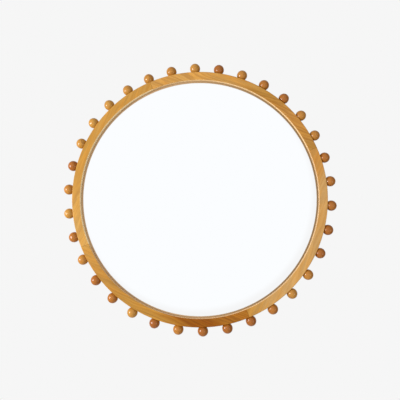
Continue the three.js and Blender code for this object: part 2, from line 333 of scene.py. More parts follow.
    def surface(self, sockets: dict[str, object]) -> None:
        """Ends a material with a Principled shader.

        Args:
            sockets: The shader's constants and links, by socket name.
        """
        shader = self.node("BsdfPrincipled", None, sockets)
        output = self.node("OutputMaterial")
        self.tree.links.new(shader.outputs[0], output.inputs["Surface"])


def graph_of(name: str) -> Graph:
    """Returns the graph of a new material."""
    return Graph(bpy.data.materials.new(name))


def millimetres(graph: Graph, turn: float = 0.0) -> Signal:
    """Reads the piece's own coordinates in millimetres.

    Args:
        graph: The graph.
        turn: Turns them about Y, in degrees.

    Returns:
        The coordinates.
    """
    place = graph.out(graph.node("TexCoord"), "Object")
    sockets = {
        "Vector": place,
        "Rotation": (0, math.radians(turn), 0),
        "Scale": (1 / MM, 1 / MM, 1 / MM),
    }
    return graph.out(graph.node("Mapping", {"vector_type": "POINT"}, sockets))


def late_wood(g: Graph, phase: Signal, rise: Span, fall: float, faintest: float) -> Signal:
    """Draws growth lines. Each darkens slowly, ends at once and has a strength of its own.

    Args:
        g: The graph.
        phase: A value that grows by 1 from line to line.
        rise: Where between two lines the darkening begins and ends.
        fall: Where it starts to pale again.
        faintest: The strength of the faintest line.

    Returns:
        0 between the lines and up to 1 on them.
    """
    tooth = g.math("FRACT", phase)
    line = g.band(tooth, *rise) * g.band(tooth, fall, 1, 1, 0)
    return line * (g.chance(phase) * (1 - faintest) + faintest)


# ---------------------------------------------------------------- finishes


class WoodTone(Enum):
    """The lacquered tones that run along the hoop's boards, from the palest to the darkest."""

    STRAW = tone(203, 156, 92)
    WHEAT = tone(194, 147, 85)
    PALE_HONEY = tone(205, 154, 79)
    LIGHT_HONEY = tone(200, 147, 72)
    AMBER = tone(193, 137, 65)
    SAND = tone(185, 141, 72)
    HONEY = tone(184, 135, 61)
    DEEP_HONEY = tone(178, 129, 53)
    TAN = tone(171, 122, 51)
    RUSSET = tone(168, 107, 27)
    UMBER = tone(142, 80, 0)


@dataclass(frozen=True)
class Board:
    """The timber of one quadrant.

    Its run of tones stands at angles from the quadrant's middle, in degrees. Its growth lines have a strength
    at each end, and its inner wall and rounded sight edge carry a pale painted highlight instead of lit wood.
    """

    name: str
    run: tuple[tuple[float, WoodTone], ...]
    line_tone: Colour
    line_spacing: float
    line_strength: Span
    figure: float
    shift: float
    # The painted highlight on the inner wall and its rounded sight edge: its pale tone, and how far onto the
    # face it reaches, in millimetres.
    wall_highlight_tone: Colour
    wall_highlight_reach: float


BOARDS = (
    Board(
        name="top",
        run=(
            (-45, WoodTone.HONEY),
            (-25, WoodTone.AMBER),
            (-10, WoodTone.DEEP_HONEY),
            (8, WoodTone.LIGHT_HONEY),
            (18, WoodTone.PALE_HONEY),
            (40, WoodTone.LIGHT_HONEY),
        ),
        line_tone=tone(130, 66, 14),
        line_spacing=9.0,
        line_strength=(0.42, 0.34),
        figure=0.16,
        shift=3.1,
        wall_highlight_tone=tone(236, 200, 150),
        wall_highlight_reach=0.5,
    ),
    Board(
        name="left",
        run=((-11, WoodTone.HONEY), (5, WoodTone.DEEP_HONEY), (28, WoodTone.SAND)),
        line_tone=tone(150, 92, 26),
        line_spacing=10.5,
        line_strength=(0.28, 0.34),
        figure=0.17,
        shift=11.7,
        # Painted light: this board's wall highlight is paler and reaches further, making up for the shade that
        # falls on the left wall.
        wall_highlight_tone=tone(255, 229, 182),
        wall_highlight_reach=1.4,
    ),
    Board(
        name="bottom",
        run=(
            (-45, WoodTone.HONEY),
            (-25, WoodTone.TAN),
            (3, WoodTone.DEEP_HONEY),
            (12, WoodTone.RUSSET),
            (18, WoodTone.UMBER),
            (27, WoodTone.UMBER),
            (34, WoodTone.RUSSET),
        ),
        line_tone=tone(104, 50, 6),
        line_spacing=8.6,
        line_strength=(0.16, 0.5),
        figure=0.14,
        shift=23.3,
        wall_highlight_tone=tone(226, 186, 138),
        wall_highlight_reach=0.6,
    ),
    Board(
        name="right",
        run=(
            (-45, WoodTone.DEEP_HONEY),
            (-33, WoodTone.STRAW),
            (0, WoodTone.STRAW),
            (14, WoodTone.WHEAT),
            (28, WoodTone.STRAW),
            (37, WoodTone.AMBER),
        ),
        line_tone=tone(158, 102, 38),
        line_spacing=11.0,
        line_strength=(0.22, 0.25),
        figure=0.1,
        shift=37.9,
        wall_highlight_tone=tone(214, 178, 135),
        wall_highlight_reach=0.5,
    ),
)


@dataclass(frozen=True)
class HoopWood:
    """Straight-grained wood under satin lacquer, its grain along one quadrant's chord.

    Fibres, growth lines and changes of tone are stretched along the grain. The board's tones meet in uneven
    changes that lean along it, as a board's heartwood meets its sapwood.
    """

    board: Board
    hoop: "Hoop"
    middle_angle: float
    drift: Stretch = (0.007, 0.03, 0.03)
    ripple: Stretch = (0.03, 0.16, 0.16)
    fibre: Stretch = (0.05, 2.4, 2.4)
    cloud: Stretch = (0.012, 0.05, 0.05)
    flame: Stretch = (0.011, 0.085, 0.085)
    flame_edge: Span = (0.36, 0.64)
    hue: Stretch = (0.014, 0.12, 0.12)
    hue_edge: Span = (0.38, 0.62)
    warm: Colour = (1.06, 1.0, 0.85, 1.0)
    cool: Colour = (0.98, 1.01, 1.08, 1.0)
    pore: Stretch = (0.16, 4.5, 4.5)
    pore_strength: float = 0.35
    line_lean: float = 0.35
    line_drift: float = 4.5
    line_ripple: float = 0.9
    line_rise: Span = (0.2, 0.8)
    line_fall: float = 0.88
    line_reach: float = 200
    faintest_line: float = 0.35
    fine_lines: float = 3.7
    fine_rise: Span = (0.3, 0.95)
    fine_strength: float = 0.4
    tone_lean: float = 4.4
    tone_reach: float = 640
    tone_turnover: float = 40
    tone_scatter: float = 0.13
    glue_tone: Colour = tone(92, 52, 22)
    glue_strength: float = 0.62
    glue_reach: float = 0.55
    # Where the painted highlight on the inner wall begins beyond the sight radius, and how fully it covers the
    # wood.
    wall_highlight_start: float = 0.1
    wall_highlight_strength: float = 0.9

    def material(self) -> bpy.types.Material:
        """Builds the material.

        Returns:
            The material.
        """
        g = graph_of("hoop_wood_" + self.board.name)
        grain = millimetres(g, self.middle_angle + 90)
        along, depth, across = g.split(grain)
        place = g.vector("ADD", grain, (self.board.shift,) * 3)
        cloud = g.noise(place, self.cloud, 3, 0.6)
        fibre = g.noise(place, self.fibre, 4, 0.6)
        flame = g.band(g.noise(place, self.flame, 3, 0.55), *self.flame_edge)
        pores = g.band(g.noise(place, self.pore, 1), *PORE_EDGE)
        late, fine = self._growth_lines(g, place, depth, across)

        scatter = cloud.sway(self.tone_scatter) + late * 0.02
        ground = self._ground(g, place, along, across, scatter)
        shade = cloud.sway(0.3) + flame.sway(self.board.figure) + fibre.sway(0.42) + 1.0
        strength = g.band(along, -self.line_reach, self.line_reach, *self.board.line_strength)
        lines = (late + fine * self.fine_strength) * strength
        lined = g.blend(lines, g.shaded(ground, shade), self.board.line_tone)
        pored = g.blend(pores * self.pore_strength, lined, self.board.line_tone)
        glued = g.blend(self._glue(g, along, depth, across) * self.glue_strength, pored, self.glue_tone)
        # Painted highlight: a pale band over the inner wall and its rounded sight edge, standing in for the
        # sheen that edge catches.
        first = self.hoop.sight_radius + self.wall_highlight_start
        last = self.hoop.sight_radius + self.board.wall_highlight_reach
        painted_highlight_or_unsilvered = g.band(g.reach(along, across), first, last, self.wall_highlight_strength, 0)
        g.surface(
            {
                "Base Color": g.blend(painted_highlight_or_unsilvered, glued, self.board.wall_highlight_tone),
                "Roughness": fibre.sway(0.2) + pores * 0.1 + 0.42,
                "Specular IOR Level": 0.12,
                "Coat Weight": 0.1,
                "Coat Roughness": 0.25,
                "Normal": g.bump(fibre * 0.5 + late * 0.3 - pores * 0.5, 0.00006, 0.55),
            }
        )
        return g.owner

    def _growth_lines(
        self, g: Graph, place: Signal, depth: Signal, across: Signal
    ) -> tuple[Signal, Signal]:
        """Draws the board's growth lines and the finer lines among them.

        Args:
            g: The graph.
            place: The board's own coordinates, for its wandering.
            depth: Millimetres from front to back.
            across: Millimetres across the grain.

        Returns:
            The growth lines and the finer lines, each 0 beside a line and up to 1 on it.
        """
        drift = g.noise(place, self.drift).sway(self.line_drift)
        ripple = g.noise(place, self.ripple).sway(self.line_ripple)
        straight = (across + depth * self.line_lean) / self.board.line_spacing
        phase = straight + drift + ripple + self.board.shift
        late = late_wood(g, phase, self.line_rise, self.line_fall, self.faintest_line)
        fine_phase = phase * self.fine_lines
        fine = g.band(g.math("FRACT", fine_phase), *self.fine_rise) * g.chance(fine_phase)
        return late, fine

    def _ground(self, g: Graph, place: Signal, along: Signal, across: Signal, scatter: Signal) -> Signal:
        """Lays the board's run of tones along its grain, with patches of warmer and cooler wood.

        Args:
            g: The graph.
            place: The board's own coordinates, for its patches.
            along: Millimetres along the grain.
            across: Millimetres across the grain.
            scatter: How far the changes of tone stray.

        Returns:
            The colour.
        """
        side = g.band(along, -self.tone_turnover, self.tone_turnover, -1, 1)
        run = along + side * (across + self.hoop.face_radius) * self.tone_lean
        stops = [(self._tone_place(angle), wood.value) for angle, wood in self.board.run]
        board = g.ramp(run / (2 * self.tone_reach) + scatter + 0.5, stops)
        hue = g.band(g.noise(place, self.hue), *self.hue_edge)
        return g.blend(1.0, board, g.blend(hue, self.warm, self.cool), "MULTIPLY")

    def _tone_place(self, degrees: float) -> float:
        """Finds where one of the board's tones stands on the ramp.

        Args:
            degrees: The tone's angle from the quadrant's middle.

        Returns:
            The place, from 0 to 1.
        """
        angle = math.radians(degrees)
        leaning = math.copysign(self.tone_lean * (1 - math.cos(angle)), angle)
        return 0.5 + self.hoop.face_radius * (math.sin(angle) + leaning) / (2 * self.tone_reach)

    def _glue(self, g: Graph, along: Signal, depth: Signal, across: Signal) -> Signal:
        """Marks the glue lines of the comb joints at both ends.

        Args:
            g: The graph.
            along: Millimetres along the grain.
            depth: Millimetres from front to back.
            across: Millimetres across the grain.

        Returns:
            1 on a glue line and 0 away from it.
        """
        parity: Term = 0.0
        for edge in self.hoop.finger_depths[1:-1]:
            parity = g.math("GREATER_THAN", depth, edge) + parity
        odd = g.math("MODULO", parity, 2.0)
        angle = g.math("ARCTAN2", along, 0 - across)
        stretch = odd * self.hoop.finger_angle
        half = math.radians(self.hoop.quadrant_turn / 2)
        first = abs(angle + half - stretch)
        last = abs(angle - half - stretch)
        nearest = g.math("MINIMUM", first, last) * self.hoop.outer_radius
        return g.band(nearest, self.glue_reach * 0.3, self.glue_reach, 1, 0)


@dataclass(frozen=True)
class BallWood:
    """Turned wood under gloss lacquer. Each ball carries its own grain coordinates and tint as attributes."""

    grain_layer: str = "grain_place"
    tint_layer: str = "tint"
    pale: Colour = tone(192, 139, 57)
    middle: Colour = tone(178, 113, 37)
    deep: Colour = tone(150, 81, 16)
    line: Colour = tone(116, 54, 10)
    warp: Stretch = (0.04, 0.16, 0.16)
    fibre: Stretch = (0.14, 2.6, 2.6)
    cloud: Stretch = (0.05, 0.1, 0.1)
    pore: Stretch = (0.3, 5.0, 5.0)
    ring_spacing: float = 2.6
    ring_warp: float = 1.6
    ring_rise: Span = (0.3, 0.88)
    ring_fall: float = 0.93
    faintest_ring: float = 0.3

    def material(self) -> bpy.types.Material:
        """Builds the material.

        Returns:
            The material.
        """
        g = graph_of("turned_ball_wood")
        grain = g.out(g.node("Attribute", {"attribute_name": self.grain_layer}), "Vector")
        tint = g.out(g.node("Attribute", {"attribute_name": self.tint_layer}), "Fac")
        _, side, rise = g.split(grain)
        warp = g.noise(grain, self.warp).sway(self.ring_warp)
        phase = g.reach(side, rise) / self.ring_spacing + warp
        late = late_wood(g, phase, self.ring_rise, self.ring_fall, self.faintest_ring)
        fibre = g.noise(grain, self.fibre, 4, 0.6)
        cloud = g.noise(grain, self.cloud)
        pores = g.band(g.noise(grain, self.pore, 1), *PORE_EDGE)
        stops = [(0.0, self.pale), (0.5, self.middle), (1.0, self.deep)]
        ground = g.ramp(tint + cloud.sway(0.5), stops)
        tinted = g.shaded(ground, fibre.sway(0.5) + 1.0)
        g.surface(
            {
                "Base Color": g.blend(late * 0.42 + pores * 0.3, tinted, self.line),
                "Roughness": fibre.sway(0.12) + 0.34,
                "Specular IOR Level": 0.2,
                "Coat Weight": 0.42,
                "Coat Roughness": 0.14,
                "Normal": g.bump(fibre * 0.6 + late * 0.2, 0.00003, 0.35),
            }
        )
        return g.owner


@dataclass(frozen=True)
class SilveredGlass:
    """Flat mirror glass: silver, a dark ring of painted shade round its rim under the lip (painted lighter
    towards the left), a ground edge and protective paint behind.
    """

    silver: Colour = (0.975, 0.982, 0.985, 1.0)
    haze: Colour = (0.93, 0.95, 0.96, 1.0)
    haze_strength: float = 0.02
    # The ring of painted shade under the lip: its tone on the left, painted lighter against the deeper shade
    # the lip casts there, and on the right.
    shade_ring_left: Colour = tone(198, 164, 122)
    shade_ring_right: Colour = tone(142, 116, 80)
    shade_ring_turnover: float = 260
    shade_ring_scatter: float = 160
    shade_ring_radius: float = 303.4
    shade_ring_softness: float = 0.9
    shade_ring_raggedness: float = 0.5
    shade_ring_centre: Point = (0.3, -0.6)
    edge: Colour = tone(150, 170, 160)
    edge_dark: Colour = tone(128, 146, 138)
    edge_radius: float = 312.4
    paint: Colour = tone(112, 116, 118)
    paint_dark: Colour = tone(96, 100, 103)
    paint_place: float = -0.3

    def material(self) -> bpy.types.Material:
        """Builds the material.

        Returns:
            The material.
        """
        g = graph_of("silvered_glass")
        place = millimetres(g)
        x, y, z = g.split(place)
        grit = g.noise(place, 0.9, 3)
        veil = g.noise(place, 0.01)
        # Painted shade: a dark, ragged ring just inside the lip, where the lip's shadow falls on the glass.
        ragged = g.noise(place, 0.12, 4, 0.6).sway(self.shade_ring_raggedness)
        reach = g.reach(x - self.shade_ring_centre[0], z - self.shade_ring_centre[1]) + ragged
        low = self.shade_ring_radius - self.shade_ring_softness
        high = self.shade_ring_radius + self.shade_ring_softness
        in_shade_ring = g.band(reach, low, high)
        at_edge = g.math("GREATER_THAN", g.reach(x, z), self.edge_radius)
        painted = g.math("GREATER_THAN", y, self.paint_place)

        # Painted light: the ring's tone turns lighter towards the left, where the lip shades the glass more.
        strayed = x + grit.sway(self.shade_ring_scatter)
        side = g.band(strayed, -self.shade_ring_turnover, self.shade_ring_turnover)
        painted_shade = g.blend(side, self.shade_ring_left, self.shade_ring_right)
        silver = g.blend(veil * self.haze_strength, self.silver, self.haze)
        front = g.blend(in_shade_ring, silver, painted_shade)
        ground = g.blend(at_edge, front, g.blend(grit, self.edge, self.edge_dark))
        # Not silvered: the ground edge, the back paint and the ring of painted shade.
        painted_highlight_or_unsilvered = g.math("MAXIMUM", g.math("MAXIMUM", at_edge, painted), in_shade_ring)
        g.surface(
            {
                "Base Color": g.blend(painted, ground, g.blend(grit, self.paint, self.paint_dark)),
                "Metallic": 1 - painted_highlight_or_unsilvered,
                "Roughness": painted_highlight_or_unsilvered * (grit * 0.2 + 0.4),
                "Specular IOR Level": 0.3,
            }
        )
        return g.owner


@dataclass(frozen=True)
class Fibreboard:
    """Bare brown fibreboard: three layers of pressed fibres, each with its turn, and fine dark flecks."""

    pale: Colour = tone(196, 164, 124)
    deep: Colour = tone(160, 124, 86)
    fleck: Colour = tone(110, 78, 50)
    layers: tuple[tuple[float, Stretch], ...] = (
        (24, (0.45, 1.0, 1.5)),
        (-58, (0.5, 1.0, 1.6)),
        (83, (0.4, 1.0, 1.4)),
    )
    fleck_edge: Span = (0.62, 0.72)
    fleck_strength: float = 0.45

    def material(self) -> bpy.types.Material:
        """Builds the material.

        Returns:
            The material.
        """
        g = graph_of("bare_fibreboard")
        place = millimetres(g)
        fibres: Term = 0.0
        for turn, stretch in self.layers:
            fibres = g.math("MAXIMUM", g.noise(millimetres(g, turn), stretch, 4, 0.65), fibres)
        grain = g.noise(place, 1.1, 5, 0.7)
        cloud = g.noise(place, 0.006, 3)
        speck = g.band(g.noise(place, 0.8), *self.fleck_edge)
        felt = fibres * 0.4 + grain * 0.6
        ground = g.blend(g.band(felt + cloud.sway(0.14), 0.34, 0.7), self.deep, self.pale)
        g.surface(
            {
                "Base Color": g.blend(speck * self.fleck_strength, ground, self.fleck),
                "Roughness": felt.sway(0.25) + 0.78,
                "Specular IOR Level": 0.25,
                "Normal": g.bump(felt, 0.00018, 0.6),
            }
        )
        return g.owner


class Plating(Enum):
    """The plated finishes of the ironmongery: its name, clean tone and worn tone."""

    NICKEL = ("nickel_plate", tone(214, 210, 200), tone(176, 170, 158))
    ZINC = ("yellow_zinc_plate", tone(214, 190, 126), tone(176, 150, 96))

    def material(self) -> bpy.types.Material:
        """Builds the material: drawn steel under plating, with a slight drift of colour.

        Returns:
            The material.
        """
        name, clean, worn = self.value
        g = graph_of(name)
        place = millimetres(g)
        drift = g.band(g.noise(place, 0.08), 0.3, 0.75)
        scratch = g.noise(place, (0.8, 4.0, 9.0), 3, 0.6)
        grit = g.noise(place, 3.5)
        g.surface(
            {
                "Base Color": g.shaded(g.blend(drift * 0.55, clean, worn), scratch * 0.12 + 0.94),
                "Metallic": 1.0,
                "Roughness": scratch.sway(0.16) + grit.sway(0.1) + 0.24,
                "Normal": g.bump(scratch * 0.6 + grit * 0.4, 0.00002, 0.4),
            }
        )
        return g.owner


@dataclass(frozen=True)
class BumperRubber:
    """Matt dark rubber with a fine moulded grain and a little dust."""

    dark: Colour = tone(44, 43, 42)
    dusty: Colour = tone(78, 76, 73)
    dust_edge: Span = (0.4, 0.75)
    dust_strength: float = 0.6

    def material(self) -> bpy.types.Material:
        """Builds the material.

        Returns:
            The material.
        """
        g = graph_of("matt_rubber")
        place = millimetres(g)
        grit = g.noise(place, 4.0, 3, 0.6)
        dust = g.band(g.noise(place, 0.4, 3), *self.dust_edge)
        g.surface(
            {
                "Base Color": g.blend(dust * self.dust_strength, self.dark, self.dusty),
                "Roughness": grit.sway(0.3) + 0.72,
                "Specular IOR Level": 0.3,
                "Normal": g.bump(grit, 0.00004, 0.6),
            }
        )
        return g.owner


@dataclass(frozen=True)
class FloorPaint:
    """Plain pale studio paint, fading out towards the floor's rim."""

    light: Colour = tone(248, 248, 246)
    shade: Colour = tone(243, 243, 241)
    fade: Span = (600, 1450)

    def material(self) -> bpy.types.Material:
        """Builds the material.

        Returns:
            The material.
        """
        g = graph_of("pale_floor_paint")
        place = millimetres(g)
        x, y, _ = g.split(place)
        ground = g.blend(g.noise(place, 0.004, 3), self.light, self.shade)
        solid = g.band(g.reach(x, y), *self.fade, 1, 0)
        g.surface({"Base Color": ground, "Roughness": 0.85, "Alpha": solid})
        return g.owner


# ---------------------------------------------------------------- modelling


def everything(bm: bmesh.types.BMesh) -> list[object]:
    """Returns all of a mesh's vertices, edges and faces."""
    return [*bm.verts, *bm.edges, *bm.faces]


def verts_of(geometry: Iterable[object]) -> list[bmesh.types.BMVert]:
    """Returns the vertices in an operator's result."""
    return [part for part in geometry if isinstance(part, bmesh.types.BMVert)]


def flat_face(bm: bmesh.types.BMesh, corners: Sequence[Point]) -> bmesh.types.BMFace:
    """Adds a face with corners in the XY plane.

    Args:
        bm: The mesh.
        corners: Its (x, y) corners in order.

    Returns:
        The face.
    """
    return bm.faces.new([bm.verts.new((x, y, 0)) for x, y in corners])


def round_corner(bm: bmesh.types.BMesh, corner: Point, radius: float, segments: int) -> None:
    """Rounds one corner of flat faces in the XY plane.

    Args:
        bm: The mesh.
        corner: Where the corner is.
        radius: The round's radius.
        segments: How many flats it gets.
    """
    place = Vector((*corner, 0))
    vertex = min(bm.verts, key=lambda v: (v.co - place).length)
    bmesh.ops.bevel(
        bm, geom=[vertex], offset=radius, segments=segments, profile=0.5, affect="VERTICES", material=-1
    )


def swing(
    bm: bmesh.types.BMesh,
    geometry: Iterable[object],
    centre: Sequence[float],
    axis: Sequence[float],
    angle: float,
    steps: int,
) -> list[object]:
    """Sweeps geometry round an axis.

    Args:
        bm: The mesh.
        geometry: What is swept.
        centre: A point on the axis.
        axis: The axis's direction.
        angle: How far, in radians.
        steps: In how many steps.

    Returns:
        The geometry at the end of the sweep.
    """
    whole = math.isclose(abs(angle), FULL_TURN)
    swept = bmesh.ops.spin(
        bm,
        geom=list(geometry),
        cent=centre,
        axis=axis,
        dvec=(0, 0, 0),
        angle=angle,
        steps=steps,
        use_merge=whole,
        use_duplicate=False,
    )
    return swept["geom_last"]


def push(bm: bmesh.types.BMesh, geometry: Iterable[object], step: Sequence[float]) -> list[object]:
    """Extrudes faces along a straight line.

    Args:
        bm: The mesh.
        geometry: The faces.
        step: The way they go.

    Returns:
        The geometry at the far end.
    """
    grown = bmesh.ops.extrude_face_region(bm, geom=list(geometry))["geom"]
    bmesh.ops.translate(bm, verts=verts_of(grown), vec=step)
    return grown


def extend(bm: bmesh.types.BMesh, vertex: bmesh.types.BMVert, places: Sequence[Point]) -> bmesh.types.BMVert:
    """Draws a line of edges on from a vertex through points in the XY plane.

    Args:
        bm: The mesh.
        vertex: Where the line starts.
        places: The points.

    Returns:
        The last vertex.
    """
    for x, y in places:
        grown = bmesh.ops.extrude_vert_indiv(bm, verts=[vertex])
        vertex = grown["verts"][0]
        vertex.co = (x, y, 0)
    return vertex


def tidy(bm: bmesh.types.BMesh) -> None:
    """Merges doubles and turns all faces outwards."""
    bmesh.ops.remove_doubles(bm, verts=bm.verts, dist=WELD)
    bmesh.ops.recalc_face_normals(bm, faces=bm.faces)


def turn_about_y(bm: bmesh.types.BMesh, steps: int) -> None:
    """Turns the mesh's edges, drawn in the XY plane, round the Y axis into a closed body."""
    swing(bm, everything(bm), (0, 0, 0), (0, 1, 0), FULL_TURN, steps)
    tidy(bm)


def turned_section(
    bm: bmesh.types.BMesh, corners: Sequence[Point], rounds: dict[int, float], steps: int
) -> None:
    """Turns a half section, with its first and last corners on the Y axis, into a closed body.

    Args:
        bm: The empty mesh.
        corners: The section's (radius, y) corners.
        rounds: Radii of the rounded corners, by index.
        steps: How many steps it is turned in.
    """
    flat_face(bm, corners)
    for index, radius in rounds.items():
        round_corner(bm, corners[index], radius, ROUND_SEGMENTS)
    bmesh.ops.delete(bm, geom=bm.faces[:], context="FACES_ONLY")
    on_axis = [e for e in bm.edges if all(abs(v.co.x) < WELD for v in e.verts)]
    bmesh.ops.delete(bm, geom=on_axis, context="EDGES")
    turn_about_y(bm, steps)


def soften(bm: bmesh.types.BMesh, width: float, least_angle: float, segments: int = 2) -> None:
    """Bevels a body's sharp edges.

    Args:
        bm: The mesh.
        width: The bevel's width.
        least_angle: Edges that turn at least this much are bevelled, in degrees.
        segments: The bevel's flats.
    """
    limit = math.radians(least_angle)
    sharp = [e for e in bm.edges if len(e.link_faces) == 2 and e.calc_face_angle(0) > limit]
    bmesh.ops.bevel(
        bm,
        geom=sharp,
        offset=width,
        segments=segments,
        profile=0.5,
        affect="EDGES",
        material=-1,
        clamp_overlap=True,
    )


def cylinder(radius: float, low: float, high: float, sides: int, place: Matrix) -> bmesh.types.BMesh:
    """Makes a cylinder along a local Y axis.

    Args:
        radius: Its radius.
        low: Its lower end.
        high: Its upper end.
        sides: Its flats.
        place: Where its local origin goes.

    Returns:
        The mesh.
    """
    bm = bmesh.new()
    bmesh.ops.create_cone(
        bm, cap_ends=True, segments=sides, radius1=radius, radius2=radius, depth=high - low
    )
    bmesh.ops.rotate(bm, verts=bm.verts, cent=(0, 0, 0), matrix=Matrix.Rotation(-QUARTER_TURN, 3, "X"))
    bmesh.ops.translate(bm, verts=bm.verts, vec=(0, (low + high) / 2, 0))
    bmesh.ops.transform(bm, verts=bm.verts, matrix=place)
    return bm


def put_down(bm: bmesh.types.BMesh, name: str, place: Matrix | None = None) -> bpy.types.Object:
    """Makes an object at the origin of a mesh in millimetres, with its place in the mesh.

    Args:
        bm: The mesh, which is freed.
        name: The object's name.
        place: Moves the mesh first.

    Returns:
        The object.
    """
    scaled = Matrix.Scale(MM, 4) @ (place or Matrix.Identity(4))
    bmesh.ops.transform(bm, verts=bm.verts, matrix=scaled)
    mesh = bpy.data.meshes.new(name)
    bm.to_mesh(mesh)
    bm.free()
    made = bpy.data.objects.new(name, mesh)
    bpy.context.scene.collection.objects.link(made)
    return made


def cut(piece: bpy.types.Object, tool: bmesh.types.BMesh) -> None:
    """Cuts a closed tool out of a piece.

    Args:
        piece: The piece.
        tool: The tool's mesh in millimetres, which is freed.
    """
    cutter = put_down(tool, piece.name + "_cutter")
    modifier = piece.modifiers.new("cut", "BOOLEAN")
    modifier.operation = "DIFFERENCE"
    modifier.solver = "EXACT"
    modifier.object = cutter
    bpy.context.view_layer.update()
    shaped = piece.evaluated_get(bpy.context.evaluated_depsgraph_get())
    mesh = bpy.data.meshes.new_from_object(shaped)
    piece.modifiers.clear()
    old = piece.data
    piece.data = mesh
    mesh.name = piece.name
    bpy.data.meshes.remove(old)
    used = cutter.data
    bpy.data.objects.remove(cutter)
    bpy.data.meshes.remove(used)


def join_tools(tools: Iterable[bmesh.types.BMesh]) -> bmesh.types.BMesh:
    """Gathers several tools into one mesh.

    Args:
        tools: The tools' meshes, which are freed.

    Returns:
        The mesh.
    """
    gathered = bmesh.new()
    for tool in tools:
        mesh = bpy.data.meshes.new("tool")
        tool.to_mesh(mesh)
        tool.free()
        gathered.from_mesh(mesh)
        bpy.data.meshes.remove(mesh)
    return gathered


def dress(
    piece: bpy.types.Object,
    material: bpy.types.Material,
    node: str,
    body: str = ROOT_BODY,
    smooth_angle: float = 35,
) -> bpy.types.Object:
    """Gives a piece its finish, its shading and its place in the frame.

    Args:
        piece: The piece.
        material: Its finish.
        node: The CAD node that it stands for.
        body: The body that it moves with.
        smooth_angle: Edges that turn more than this stay sharp, in degrees.

    Returns:
        The piece.
    """
    mesh = piece.data
    mesh.materials.clear()
    mesh.materials.append(material)
    mesh.shade_smooth()
    mesh.set_sharp_from_angle(angle=math.radians(smooth_angle))
    even = piece.modifiers.new("even shading", "WEIGHTED_NORMAL")
    even.keep_sharp = True
    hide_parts(node)
    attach(piece, body)
    return piece


def arm(angle: float, radius: float, depth: float) -> Matrix:
    """Finds a place on the hoop: local X points outwards at that angle and local Y to the back.

    Args:
        angle: The angle in degrees.
        radius: The distance from the hoop's axis.
        depth: The place from front to back.

    Returns:
        The place, in millimetres.
    """
    turn = Matrix.Rotation(-math.radians(angle), 4, "Y")
    return turn @ Matrix.Translation((radius, depth, 0))


# ---------------------------------------------------------------- sub-assemblies


